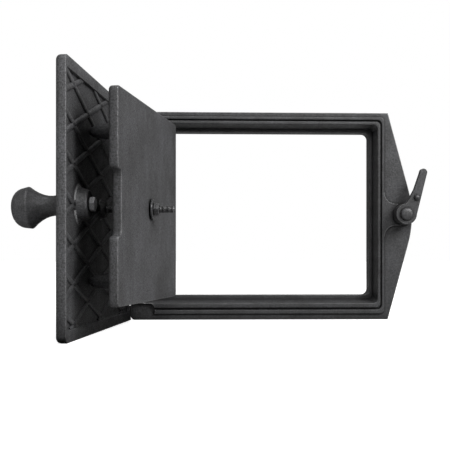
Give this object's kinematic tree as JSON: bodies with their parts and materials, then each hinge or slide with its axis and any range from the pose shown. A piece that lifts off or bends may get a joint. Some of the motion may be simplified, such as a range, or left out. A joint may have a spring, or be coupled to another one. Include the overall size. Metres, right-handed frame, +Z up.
{
  "type": "hinged cast iron flue door",
  "caption": "Cast iron flue door: a ribbed frame with a collar, a hinged leaf with a latticed inner face and a bolted heat baffle, a turned knob and a lever latch.",
  "frame": {"origin": "centre of the opening in the plane of the flange's back face, which lies on the masonry", "axes": "+X to the right seen from the room, +Y into the flue, +Z up"},
  "size_m": [0.374, 0.2879, 0.209],
  "materials": {
    "frame_iron": "sand cast, black paint, satin",
    "leaf_iron": "sand cast, black paint, satin",
    "baffle_iron": "sand cast, black paint, satin",
    "knob_iron": "smooth cast, black paint, satin",
    "lever_iron": "sand cast, black paint, satin",
    "black_steel": "blackened steel, satin"
  },
  "bodies": {
    "frame": {"frame": "frame_iron", "upper_hinge_pin": "black_steel", "lower_hinge_pin": "black_steel", "latch_rivet": "black_steel"},
    "leaf": {"leaf": "leaf_iron", "knob": "knob_iron", "knob_bolt": "black_steel", "baffle": "baffle_iron", "baffle_stud": "black_steel", "baffle_washer": "black_steel", "baffle_nut": "black_steel"},
    "latch": {"latch_lever": "lever_iron"}
  },
  "joints": [
    {"name": "leaf_hinge", "type": "hinge", "parent": "frame", "child": "leaf", "pos_m": [-0.131, -0.0125, 0], "axis": [0, 0, -1], "range_deg": [-96.6, 69]},
    {"name": "latch_swing", "type": "hinge", "parent": "frame", "child": "latch", "pos_m": [0.1453, 0, 0.0015], "axis": [0, -1, 0], "range_deg": [-157, 112.9]}
  ]
}
